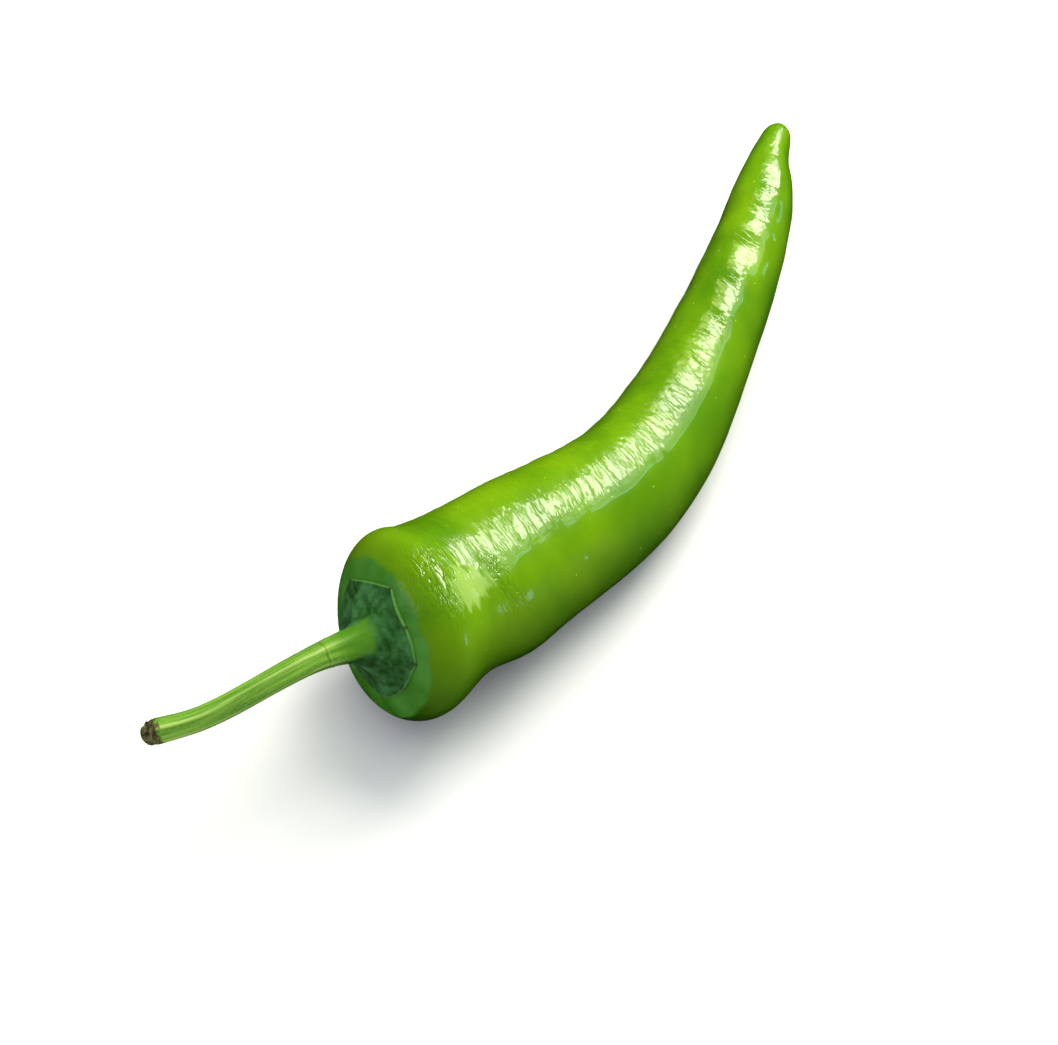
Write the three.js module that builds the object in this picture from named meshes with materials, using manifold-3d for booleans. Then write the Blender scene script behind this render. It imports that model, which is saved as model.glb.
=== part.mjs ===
// A long green chilli pepper, as picked: the curved pod lying on its side, the toothed calyx that caps
// its broad end, and the ribbed stem. Millimetres, +Z up. The stem points to -X and the tip to +X, and
// the pod rests on the plane z = 0 by a small flat spot under its weight.

import * as THREE from 'three';
import { mergeVertices } from 'three/addons/utils/BufferGeometryUtils.js';
import Module from 'manifold-3d';

// The pod: [x, y, z, radius] of the stations that its centreline and its girth run through smoothly,
// from the middle of the broad face under the calyx to the end of the tip.
const POD_STATIONS = [
  [-63.2, 3.0, 25.1, 21.3],
  [-49.6, -1.0, 18.7, 21.9],
  [-31.7, -2.1, 17.0, 18.4],
  [-14.0, -6.3, 15.7, 16.9],
  [3.8, -9.8, 14.0, 15.2],
  [26.4, -7.3, 13.2, 13.4],
  [49.7, -0.8, 16.9, 11.0],
  [74.4, 5.7, 22.6, 9.55],
  [94.9, 15.4, 26.3, 7.1],
  [109.7, 22.0, 27.6, 2.7],
];
const SHOULDER_LENGTH = 12; // how far from the face the girth is full
const SHOULDER_SQUARENESS = 2.8; // 2 is a round end, more is a flatter face with a tighter corner
const TIP_LENGTH = 4; // the stretch that rounds off the tip
const LOBE_COUNT = 3;
const LOBE_DEPTH = 0.015; // of the radius, at the shoulder
const LOBE_TURN = 0.6; // radians round the pod
const LOBE_FADE = 60; // mm along the pod
// The waist behind the shoulder, shallow all round and deeper low on the side away from the bend.
const WAIST_PLACE = 18; // mm from the face
const WAIST_SPREAD = 9;
const WAIST_DEPTH = 0.01; // of the radius, all round
const WAIST_HOLLOW = 0.21; // of the radius, more on the deep side
const WAIST_TURN = 3.9; // radians round the pod
// The pinch just before the tip, on the side away from the bend too.
const NIB_DEPTH = 0.2; // of the radius
const NIB_PLACE = 11; // mm from the tip
const NIB_SPREAD = 6;
const NIB_TURN = 3.1; // radians round the pod

// The stem and the calyx's neck: [x, y, z, radius] of the stations along them, from the cut end to the
// middle of the pod's face.
const STALK_STATIONS = [
  [-109.9, 21.4, 30.3, 2.8],
  [-104.4, 17.9, 29.7, 2.5],
  [-100.2, 15.4, 29.4, 2.45],
  [-94.1, 12.9, 29.5, 2.5],
  [-87.6, 10.9, 29.7, 2.55],
  [-81.1, 9.0, 29.5, 2.6],
  [-74.5, 7.1, 28.8, 2.7],
  [-68.9, 5.0, 27.4, 3.3],
  [-63.2, 3.0, 25.1, 4.6],
];
const RIB_COUNT = 5;
const RIB_HEIGHT = 0.06; // of the stem's radius
const RIB_TWIST = 0.02; // radians a millimetre
const RIB_TURN = 2.8; // radians by which the ribs are turned round the stem
const END_ROUND = 2.2; // length over which the torn end is rounded off
const END_FLAT = 0.5; // share of the radius that the torn end's flat middle keeps

// The calyx: a thin cap on the pod's face with pointed teeth, rising as a trumpet to the neck.
// [degrees round the face, radius] of each tooth, and how far the edge from it to the next tooth stands
// out from a straight line.
const CALYX_TEETH = [
  [17, 14.0, 0.4],
  [81, 13.3, -0.2],
  [122, 11.6, 0.5],
  [158, 13.1, 1.8],
  [232, 13.1, -0.5],
  [290, 11.8, 0],
  [325, 13.6, 0.2],
];
const CALYX_GAP = 0.3; // clear of the pod's skin
const CALYX_RIM = 0.6; // thickness near the edge
const FLARE_HEIGHT = 15.5; // the trumpet's height over the cap, which falls off from the middle
const FLARE_WIDTH = 3.2; // by this distance each time it falls to about a third
const NECK_LENGTH = 11.8; // from the pod's face to where the stem starts
const NECK_FOOT = 6.2; // from the pod's face to where the trumpet takes over from the neck
const STEM_GAP = 0.3; // clear of the neck's end

// How finely the surfaces are divided.
const POD_SIDES = 36;
const SHOULDER_RINGS = 9;
const BODY_RINGS = 38;
const TIP_RINGS = 5;
const CALYX_STEP = 8; // degrees between points of the calyx's outline, at most
const NECK_RINGS = 4;
const CAP_SHARES = [0.1, 0.22, 0.38, 0.58, 0.8, 0.94]; // of the way from the neck to the edge
const UNDERSIDE_SHARES = [0.97, 0.75, 0.5, 0.25];
const STEM_SIDES = 20;
const STEM_RINGS = 20;
const STEM_END_RINGS = 6;

const COLOURS = { pod: 0x6fa312, calyx: 0x22591a, stem: 0x6a942c };
const ROUGHNESSES = { pod: 0.25, calyx: 0.6, stem: 0.5 };
const UP = new THREE.Vector3(0, 0, 1);
// The block under the resting plane that the belly's flat spot is cut with: longer and wider than the pod.
const GROUND = { length: 400, width: 200, depth: 40 };

const wasm = await Module();
wasm.setup();

/** A smooth curve near the stations (a uniform cubic B-spline that starts and ends on them). */
class StationCurve extends THREE.Curve {
  constructor(stations) {
    super();
    const [first, second] = stations;
    const [last, beforeLast] = [...stations].reverse();
    const beyond = (end, inner) => end.map((value, i) => 2 * value - inner[i]);
    this.points = [beyond(first, second), ...stations, beyond(last, beforeLast)];
    this.spans = stations.length - 1;
    this.arcLengthDivisions = 400;
  }

  /** All of a station's numbers at t, from 0 at the first station to 1 at the last. */
  valuesAt(t) {
    const place = Math.min(Math.max(t, 0), 1) * this.spans;
    const span = Math.min(Math.floor(place), this.spans - 1);
    const f = place - span;
    const weights = [
      (1 - f) ** 3,
      3 * f ** 3 - 6 * f ** 2 + 4,
      -3 * f ** 3 + 3 * f ** 2 + 3 * f + 1,
      f ** 3,
    ];
    return this.points[span].map((_, i) =>
      weights.reduce((sum, weight, k) => sum + (weight * this.points[span + k][i]) / 6, 0),
    );
  }

  getPoint(t, target = new THREE.Vector3()) {
    const [x, y, z] = this.valuesAt(t);
    return target.set(x, y, z);
  }

  /** Centre, girth and level cross directions at a length along the curve. */
  stationAt(length) {
    const u = Math.min(Math.max(length / this.getLength(), 0), 1);
    const t = this.getUtoTmapping(u);
    const tangent = this.getTangent(t);
    const side = new THREE.Vector3().crossVectors(UP, tangent).normalize();
    const up = new THREE.Vector3().crossVectors(tangent, side);
    return { centre: this.getPoint(t), radius: this.valuesAt(t)[3], tangent, side, up };
  }
}

const podCurve = new StationCurve(POD_STATIONS);
const podLength = podCurve.getLength();
const stalkCurve = new StationCurve(STALK_STATIONS);
const stalkLength = stalkCurve.getLength();

function around(station, angle, radius) {
  return station.centre
    .clone()
    .addScaledVector(station.side, Math.cos(angle) * radius)
    .addScaledVector(station.up, Math.sin(angle) * radius);
}

/** 1 at a place along the pod, falling away on both sides of it. */
function hump(length, place, spread) {
  return Math.exp(-(((length - place) / spread) ** 2));
}

/** From 1 at an angle round the pod to 0 on the other side. */
function facing(angle, turn) {
  return (1 + Math.cos(angle - turn)) / 2;
}

/** The pod's radius as a share of its station's, the same all round: the rounded shoulder and the tip. */
function podEnds(length) {
  const toShoulder = 1 - Math.min(length / SHOULDER_LENGTH, 1);
  const toTip = 1 - Math.min((podLength - length) / TIP_LENGTH, 1);
  const shoulder = (1 - toShoulder ** SHOULDER_SQUARENESS) ** (1 / SHOULDER_SQUARENESS);
  return shoulder * Math.sqrt(1 - toTip ** 2);
}

/** What the lobes, the waist and the pinch make of that radius at an angle round the pod. */
function podRelief(length, angle) {
  const lobes = LOBE_DEPTH * Math.cos(LOBE_COUNT * (angle - LOBE_TURN)) * Math.exp(-length / LOBE_FADE);
  const waistDepth = WAIST_DEPTH + WAIST_HOLLOW * facing(angle, WAIST_TURN);
  const waist = waistDepth * hump(length, WAIST_PLACE, WAIST_SPREAD);
  const nib = NIB_DEPTH * facing(angle, NIB_TURN) * hump(length, podLength - NIB_PLACE, NIB_SPREAD);
  return 1 + lobes - waist - nib;
}

function podPoint(length, angle) {
  const station = podCurve.stationAt(length);
  return around(station, angle, station.radius * podEnds(length) * podRelief(length, angle));
}

/** The stem's and the neck's section: ribs that turn slowly along it. */
function stalkPoint(length, angle) {
  const station = stalkCurve.stationAt(length);
  const rib = 1 + RIB_HEIGHT * Math.cos(RIB_COUNT * angle + RIB_TWIST * length - RIB_TURN);
  const endShare = Math.max(1 - length / END_ROUND, 0);
  const girth = END_FLAT + (1 - END_FLAT) * Math.sqrt(1 - endShare * endShare);
  return around(station, angle, station.radius * rib * girth);
}

/** How far down the face the pod's skin lies at a distance from the middle of the face. */
function faceDepth(distance) {
  const share = Math.min(distance / POD_STATIONS[0][3], 1);
  return SHOULDER_LENGTH * (1 - (1 - share ** SHOULDER_SQUARENESS) ** (1 / SHOULDER_SQUARENESS));
}

/** One closed mesh from rings of equal count, closed by a point before the first and after the last. */
function skin(startPoint, rings, endPoint) {
  const sides = rings[0].length;
  const points = [startPoint, ...rings.flat(), endPoint];
  const last = points.length - 1;
  const at = (ring, side) => 1 + ring * sides + (side % sides);
  const triangles = [];
  for (let side = 0; side < sides; side++) {
    triangles.push(0, at(0, side + 1), at(0, side));
    triangles.push(last, at(rings.length - 1, side), at(rings.length - 1, side + 1));
    for (let ring = 0; ring < rings.length - 1; ring++) {
      triangles.push(at(ring, side), at(ring, side + 1), at(ring + 1, side + 1));
      triangles.push(at(ring, side), at(ring + 1, side + 1), at(ring + 1, side));
    }
  }
  const geometry = new THREE.BufferGeometry().setFromPoints(points);
  geometry.setIndex(triangles);
  return geometry;
}

function toSolid(geometry) {
  const bare = geometry.clone();
  bare.deleteAttribute('normal');
  bare.deleteAttribute('uv');
  const merged = mergeVertices(bare);
  const vertProperties = new Float32Array(merged.attributes.position.array);
  const triVerts = new Uint32Array(merged.index.array);
  return new wasm.Manifold(new wasm.Mesh({ numProp: 3, vertProperties, triVerts }));
}

function toGeometry(solid) {
  const mesh = solid.getMesh();
  const geometry = new THREE.BufferGeometry();
  geometry.setAttribute('position', new THREE.BufferAttribute(mesh.vertProperties, 3));
  geometry.setIndex(new THREE.BufferAttribute(mesh.triVerts, 1));
  geometry.computeVertexNormals();
  return geometry;
}

function named(name, geometry) {
  const material = new THREE.MeshStandardMaterial({
    color: COLOURS[name],
    roughness: ROUGHNESSES[name],
    metalness: 0,
  });
  const mesh = new THREE.Mesh(geometry, material);
  mesh.name = name;
  return mesh;
}

/** The pod, cut level where its own weight presses it on the surface. */
function makePod() {
  const lengths = [];
  for (let ring = 1; ring <= SHOULDER_RINGS; ring++) {
    const bend = (Math.PI / 2) * (ring / (SHOULDER_RINGS + 1));
    lengths.push(SHOULDER_LENGTH * (1 - Math.cos(bend) ** (2 / SHOULDER_SQUARENESS)));
  }
  const bodyLength = podLength - TIP_LENGTH - SHOULDER_LENGTH;
  for (let ring = 0; ring <= BODY_RINGS; ring++) {
    lengths.push(SHOULDER_LENGTH + (bodyLength * ring) / BODY_RINGS);
  }
  for (let ring = 1; ring < TIP_RINGS; ring++) {
    const bend = (Math.PI / 2) * (ring / TIP_RINGS);
    lengths.push(podLength - TIP_LENGTH + TIP_LENGTH * Math.sin(bend));
  }
  const angles = Array.from({ length: POD_SIDES }, (_, side) => (2 * Math.PI * side) / POD_SIDES);
  const rings = lengths.map((length) => angles.map((angle) => podPoint(length, angle)));
  const body = skin(podCurve.getPoint(0), rings, podCurve.getPoint(1));
  const ground = new THREE.BoxGeometry(GROUND.length, GROUND.width, GROUND.depth);
  ground.translate(0, 0, -GROUND.depth / 2);
  return named('pod', toGeometry(toSolid(body).subtract(toSolid(ground))));
}

/** Angles round the calyx with a point on every tooth, and the radius of its outline at each. */
function calyxOutline() {
  const outline = [];
  CALYX_TEETH.forEach(([from, radius, bulge], i) => {
    const [next, nextRadius] = CALYX_TEETH[(i + 1) % CALYX_TEETH.length];
    const gap = (next - from + 360) % 360;
    const steps = Math.ceil(gap / CALYX_STEP);
    for (let step = 0; step < steps; step++) {
      const ahead = THREE.MathUtils.degToRad((gap * step) / steps);
      const behind = THREE.MathUtils.degToRad(gap) - ahead;
      const chord =
        (radius * nextRadius * Math.sin(ahead + behind)) /
        (radius * Math.sin(ahead) + nextRadius * Math.sin(behind));
      const edge = chord + bulge * Math.sin((Math.PI * step) / steps);
      outline.push({ angle: THREE.MathUtils.degToRad(from) + ahead, radius: edge });
    }
  });
  return outline;
}

/** The calyx: its neck round the stalk, its cap and rim over the pod's face, and its underside. */
function makeCalyx() {
  const outline = calyxOutline();
  const face = podCurve.stationAt(0);
  const foot = stalkCurve.stationAt(stalkLength - NECK_FOOT).radius;
  const overFace = (angle, distance, thickness) =>
    around(face, angle, distance).addScaledVector(
      face.tangent,
      faceDepth(distance) - CALYX_GAP - thickness,
    );
  const capThickness = (distance) => CALYX_RIM + FLARE_HEIGHT * Math.exp(-distance / FLARE_WIDTH);

  const rings = [];
  for (let ring = 0; ring < NECK_RINGS; ring++) {
    const share = ring / (NECK_RINGS - 1);
    const length = stalkLength - NECK_LENGTH + (NECK_LENGTH - NECK_FOOT) * share;
    rings.push(outline.map(({ angle }) => stalkPoint(length, angle)));
  }
  for (const share of CAP_SHARES) {
    rings.push(
      outline.map(({ angle, radius }) => {
        const distance = foot + (radius - foot) * share;
        return overFace(angle, distance, capThickness(distance));
      }),
    );
  }
  rings.push(outline.map(({ angle, radius }) => overFace(angle, radius, CALYX_RIM / 2)));
  for (const share of UNDERSIDE_SHARES) {
    rings.push(outline.map(({ angle, radius }) => overFace(angle, radius * share, 0)));
  }
  const neckEnd = stalkCurve.stationAt(stalkLength - NECK_LENGTH).centre;
  return named('calyx', skin(neckEnd, rings, overFace(0, 0, 0)));
}

/** The stem, from its cut end to just clear of the calyx's neck. */
function makeStem() {
  const stemLength = stalkLength - NECK_LENGTH - STEM_GAP;
  const angles = Array.from({ length: STEM_SIDES }, (_, side) => (2 * Math.PI * side) / STEM_SIDES);
  const endLengths = Array.from(
    { length: STEM_END_RINGS },
    (_, ring) => END_ROUND * (1 - Math.cos((Math.PI * ring) / (2 * STEM_END_RINGS))),
  );
  const restLengths = Array.from(
    { length: STEM_RINGS + 1 },
    (_, ring) => END_ROUND + ((stemLength - END_ROUND) * ring) / STEM_RINGS,
  );
  const rings = [...endLengths, ...restLengths].map((length) =>
    angles.map((angle) => stalkPoint(length, angle)),
  );
  return named('stem', skin(stalkCurve.getPoint(0), rings, stalkCurve.stationAt(stemLength).centre));
}

const pepper = new THREE.Group();
pepper.add(makePod(), makeCalyx(), makeStem());
export default pepper;
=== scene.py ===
import math

import bpy
import numpy as np
from mathutils import Matrix, Vector


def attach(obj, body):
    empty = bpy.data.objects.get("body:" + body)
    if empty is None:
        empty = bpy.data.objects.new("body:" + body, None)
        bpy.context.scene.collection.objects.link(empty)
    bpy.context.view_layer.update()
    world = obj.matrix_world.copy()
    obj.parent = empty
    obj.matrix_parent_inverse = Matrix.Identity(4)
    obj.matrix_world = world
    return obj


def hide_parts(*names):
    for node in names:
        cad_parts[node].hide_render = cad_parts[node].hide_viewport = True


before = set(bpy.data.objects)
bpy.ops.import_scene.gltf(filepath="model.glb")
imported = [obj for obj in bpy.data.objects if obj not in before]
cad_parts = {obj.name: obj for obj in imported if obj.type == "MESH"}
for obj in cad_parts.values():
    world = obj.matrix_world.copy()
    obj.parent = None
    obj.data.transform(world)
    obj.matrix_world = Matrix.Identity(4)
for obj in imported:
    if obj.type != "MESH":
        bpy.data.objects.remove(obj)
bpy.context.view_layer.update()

# The pod: the fruit itself, a fleshy wall grown in one piece along a bent line, from the broad shoulder
# under the calyx to a nipped tip. It lies on its belly, which its weight flattens a little, and its
# waxy skin is drawn into fine wrinkles that run across it.
MM = 0.001
# x, y, z and radius in millimetres of the places that the pod's centre line and girth run through.
POD_STATIONS = [
    (-63.2, 3.0, 25.1, 21.3),
    (-49.6, -1.0, 18.7, 21.9),
    (-31.7, -2.1, 17.0, 18.4),
    (-14.0, -6.3, 15.7, 16.9),
    (3.8, -9.8, 14.0, 15.2),
    (26.4, -7.3, 13.2, 13.4),
    (49.7, -0.8, 16.9, 11.0),
    (74.4, 5.7, 22.6, 9.55),
    (94.9, 15.4, 26.3, 7.1),
    (109.7, 22.0, 27.6, 2.7),
]
SHOULDER_LENGTH = 12 * MM
SHOULDER_SQUARENESS = 2.8
TIP_LENGTH = 4 * MM
LOBE_COUNT, LOBE_DEPTH, LOBE_TURN, LOBE_FADE = 3, 0.015, 0.6, 60 * MM
WAIST_PLACE, WAIST_SPREAD, WAIST_DEPTH, WAIST_HOLLOW, WAIST_TURN = 18 * MM, 9 * MM, 0.01, 0.21, 3.9
NIB_DEPTH, NIB_PLACE, NIB_SPREAD, NIB_TURN = 0.2, 11 * MM, 6 * MM, 3.1
POD_SIDES = 200
POD_SHOULDER_RINGS, POD_BODY_RINGS, POD_TIP_RINGS = 40, 370, 14
# The duller, bluer zone round the calyx, partly the skin's own darker green and partly painted shade and
# a painted bluish reflection, reaches this far along the pod, and further on the far side.
FACE_ZONE, FACE_ZONE_SPREAD, FACE_ZONE_TURN, FACE_ZONE_FADE = 1.7 * MM, 2.8 * MM, 1.92, 1.4 * MM
# The broad ripples across the upper side near the tip.
RIPPLE_HEIGHT, RIPPLE_LENGTH, RIPPLE_PHASE = 0.43 * MM, 11.5 * MM, 140.2 * MM
RIPPLE_MIDDLE, RIPPLE_SPREAD = 144 * MM, 15 * MM
# The folds stop short of the belly, at this sine of the angle, and shrink where the pod is slender.
BELLY_SINE, BELLY_FADE = -0.55, 0.5
SLENDER_RADIUS, SLENDER_SHARE = 9 * MM, 0.2
FOLDS_START, FOLDS_FADE = 6 * MM, 8 * MM
PLUMPNESS, PLUMP_START, PLUMP_FADE = 0.18 * MM, 35 * MM, 20 * MM  # gives back what the folds take away
# The flank beyond this angle is stretched, which takes this share of its folds.
STRETCH_TURN, STRETCH_FADE, STRETCH_SHARE = 1.85, 0.3, 0.6
# The fine creases keep to the top of the pod, between two angles, and weaken toward the tip.
CREASE_FRONT, CREASE_FRONT_FADE = 2.02, 0.12
CREASE_BACK, CREASE_BACK_FADE = 0.8, 0.3
CREASE_START, CREASE_START_FADE = 12 * MM, 8 * MM
CREASE_END, CREASE_END_FADE, CREASE_END_LOSS = 108 * MM, 20 * MM, 0.6
# Patches of the skin: place and spread along the pod, then angle and spread round it. The crumpled ones
# have their strength last.
# The pale patch on the shoulder is a painted reflection.
PAINTED_REFLECTION_PATCH = (15 * MM, 10 * MM, 2.0, 0.34)
CRUMPLED_PATCHES = [
    (8 * MM, 4 * MM, 1.75, 0.4, 1.4),
    (24 * MM, 3 * MM, 2.1, 0.4, 0.7),
]
TIP_BLUNTNESS = 0.3  # how far the last point is drawn back from the line's end toward the last ring
SKIN_INSET = 0.12 * MM  # keeps the skin's swells inside the solid's own faceted outline
MEAN_GIRTH = 15 * MM  # the radius at which the skin is unrolled for its patterns


def colour(hex_code, alpha=1.0):
    """An sRGB hex colour as the linear values that Blender works in."""
    parts = [int(hex_code[i : i + 2], 16) / 255 for i in (1, 3, 5)]
    return (*[c / 12.92 if c <= 0.04045 else ((c + 0.055) / 1.055) ** 2.4 for c in parts], alpha)


def run_through(stations):
    """A smooth line near the stations: (its length, a function from lengths to centre, radius and axes)."""
    known = np.array(stations) * MM
    points = np.vstack([2 * known[0] - known[1], known, 2 * known[-1] - known[-2]])
    spans = len(known) - 1

    def values(share):
        place = np.clip(share, 0, 1) * spans
        span = np.minimum(place.astype(int), spans - 1)
        f = (place - span)[:, None]
        weights = ((1 - f) ** 3, 3 * f**3 - 6 * f**2 + 4, -3 * f**3 + 3 * f**2 + 3 * f + 1, f**3)
        return sum(w * points[span + k] for k, w in enumerate(weights)) / 6

    shares = np.linspace(0, 1, 4001)
    steps = np.linalg.norm(np.diff(values(shares)[:, :3], axis=0), axis=1)
    reached = np.concatenate([[0], np.cumsum(steps)])

    def at(lengths):
        share = np.interp(lengths, reached, shares)
        value = values(share)
        small = 1e-4
        ahead = values(np.minimum(share + small, 1))[:, :3]
        behind = values(np.maximum(share - small, 0))[:, :3]
        tangent = (ahead - behind) / np.linalg.norm(ahead - behind, axis=1)[:, None]
        side = np.cross((0, 0, 1), tangent)
        side /= np.linalg.norm(side, axis=1)[:, None]
        return value[:, :3], value[:, 3], tangent, side, np.cross(tangent, side)

    return reached[-1], at


def rings_round(centre, side, up, angles, radius):
    """Points round each centre, at radius[ring, angle]."""
    across = np.cos(angles)[None, :, None] * side[:, None] + np.sin(angles)[None, :, None] * up[:, None]
    return centre[:, None] + radius[..., None] * across


def add_object(name, data):
    """A new object in the scene, for a mesh, a light or a camera."""
    item = bpy.data.objects.new(name, data)
    bpy.context.scene.collection.objects.link(item)
    return item


def closed_mesh(name, start, rings, end, attributes):
    """A closed mesh from rings of equal count, with a point before the first and after the last.
    attributes hold a value or vector for each point of the rings; the end points take their ring's mean."""
    count, sides = rings.shape[:2]
    points = np.vstack([start, rings.reshape(-1, 3), end])
    last = len(points) - 1
    index = 1 + np.arange(count * sides).reshape(count, sides)
    ahead = np.roll(index, -1, axis=1)
    quads = np.stack([index[:-1], ahead[:-1], ahead[1:], index[1:]], -1).reshape(-1, 4)
    faces = quads.tolist()
    faces += [(0, int(b), int(a)) for a, b in zip(index[0], ahead[0])]
    faces += [(last, int(a), int(b)) for a, b in zip(index[-1], ahead[-1])]
    mesh = bpy.data.meshes.new(name)
    mesh.from_pydata(points.tolist(), [], faces)
    for key, values in attributes.items():
        flat = values.reshape(count * sides, -1)
        whole = np.vstack([flat[:sides].mean(0), flat, flat[-sides:].mean(0)])
        kind = "FLOAT" if whole.shape[1] == 1 else "FLOAT_VECTOR"
        field = "value" if whole.shape[1] == 1 else "vector"
        mesh.attributes.new(key, kind, "POINT").data.foreach_set(field, whole.astype(np.float32).ravel())
    mesh.shade_smooth()
    return add_object(name, mesh)


def put(tree, kind, inputs=None, **settings):
    """Adds a node with its settings; each input is a value or the socket that feeds it."""
    node = tree.nodes.new(kind)
    for key, value in settings.items():
        setattr(node, key, value)
    for key, value in (inputs or {}).items():
        if isinstance(value, bpy.types.NodeSocket):
            tree.links.new(value, node.inputs[key])
        else:
            node.inputs[key].default_value = value
    return node


def calculate(tree, operation, first, second=0.0):
    return put(tree, "ShaderNodeMath", {0: first, 1: second}, operation=operation).outputs[0]


def split(tree, vector):
    """The x, y and z of a vector."""
    return put(tree, "ShaderNodeSeparateXYZ", {0: vector}).outputs


def ranged(tree, value, low, high, start=0.0, end=1.0, **settings):
    """Takes a value between low and high to one between start and end, and holds it there beyond them."""
    inputs = {0: value, 1: low, 2: high, 3: start, 4: end}
    return put(tree, "ShaderNodeMapRange", inputs, **settings).outputs[0]


def mixed_colour(tree, share, first, second):
    """The first colour with a share of the second laid over it."""
    return put(tree, "ShaderNodeMix", {0: share, 6: first, 7: second}, data_type="RGBA").outputs[2]


def two_tones(tree, value, low, high, first, second):
    """A colour that goes from the first tone, where the value is low, to the second, where it is high."""
    ramp = put(tree, "ShaderNodeValToRGB", {0: value})
    for element, position, tone in zip(ramp.color_ramp.elements, (low, high), (first, second)):
        element.position = position
        element.color = colour(tone)
    return ramp.outputs[0]


def noise(tree, place, scale, detail):
    """Noise at a place; its scale is one number, or one for each axis."""
    if isinstance(scale, tuple):
        place = put(tree, "ShaderNodeMapping", {"Vector": place, "Scale": scale}).outputs[0]
        scale = 1.0
    return put(tree, "ShaderNodeTexNoise", {"Vector": place, "Scale": scale, "Detail": detail}).outputs[0]


def seeded_noise(tree, place, detail, seed):
    """Noise of scale 1 for a geometry tree, another one for each seed."""
    inputs = {"Vector": place, "W": seed, "Scale": 1.0, "Detail": detail}
    return put(tree, "ShaderNodeTexNoise", inputs, noise_dimensions="4D").outputs[0]


def attribute(tree, name, output="Fac"):
    """In a material, what the mesh keeps under a name."""
    return put(tree, "ShaderNodeAttribute", attribute_name=name).outputs[output]


def stored(tree, name, kind="FLOAT"):
    """In a geometry tree, what the mesh keeps under a name."""
    inputs = {"Name": name}
    return put(tree, "GeometryNodeInputNamedAttribute", inputs, data_type=kind).outputs["Attribute"]


def scaled(tree, vector, amount):
    return put(tree, "ShaderNodeVectorMath", {0: vector, "Scale": amount}, operation="SCALE").outputs[0]


def add_inputs(tree, kind, values):
    """Gives a geometry tree its named inputs, each with its usual value."""
    for name, value in values.items():
        socket = tree.interface.new_socket(name, in_out="INPUT", socket_type=kind)
        socket.default_value = value


def new_material(name):
    """A new material: (the material, its tree, its Principled shader)."""
    material = bpy.data.materials.new(name)
    material.use_nodes = True
    return material, material.node_tree, material.node_tree.nodes["Principled BSDF"]


def hump(values, place, spread):
    """From 1 at a place to nothing on both sides of it."""
    return np.exp(-(((values - place) / spread) ** 2))


def rise(values, start, width):
    """0 up to the start, 1 from a width further on, and a straight slope between them."""
    return np.clip((values - start) / width, 0, 1)


pod_length, pod_at = run_through(POD_STATIONS)
FACE_RADIUS = POD_STATIONS[0][3] * MM


def pod_ends(lengths):
    """The share of its girth that the pod has at a length: the rounded shoulder and the tip."""
    to_shoulder = 1 - np.minimum(lengths / SHOULDER_LENGTH, 1)
    to_tip = 1 - np.minimum((pod_length - lengths) / TIP_LENGTH, 1)
    shoulder = (1 - to_shoulder**SHOULDER_SQUARENESS) ** (1 / SHOULDER_SQUARENESS)
    return shoulder * np.sqrt(np.maximum(1 - to_tip**2, 0))


def facing(angles, turn):
    """From 1 at an angle round the pod to 0 on the other side."""
    return (1 + np.cos(angles - turn)) / 2


def pod_relief(lengths, angles):
    """What the lobes, the waist and the pinch before the tip make of the girth at an angle."""
    lobes = LOBE_DEPTH * np.cos(LOBE_COUNT * (angles - LOBE_TURN)) * np.exp(-lengths / LOBE_FADE)
    hollow = WAIST_DEPTH + WAIST_HOLLOW * facing(angles, WAIST_TURN)
    waist = hollow * hump(lengths, WAIST_PLACE, WAIST_SPREAD)
    nib = NIB_DEPTH * facing(angles, NIB_TURN) * hump(lengths, pod_length - NIB_PLACE, NIB_SPREAD)
    return 1 + lobes - waist - nib


def face_depth(distance):
    """How far down the broad face the skin lies at a distance from its middle."""
    share = np.minimum(distance / FACE_RADIUS, 1)
    return SHOULDER_LENGTH * (1 - (1 - share**SHOULDER_SQUARENESS) ** (1 / SHOULDER_SQUARENESS))


def patch(along, around, place, spread, turn, width):
    return hump(along, place, spread) * hump(around, turn, width)


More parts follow.
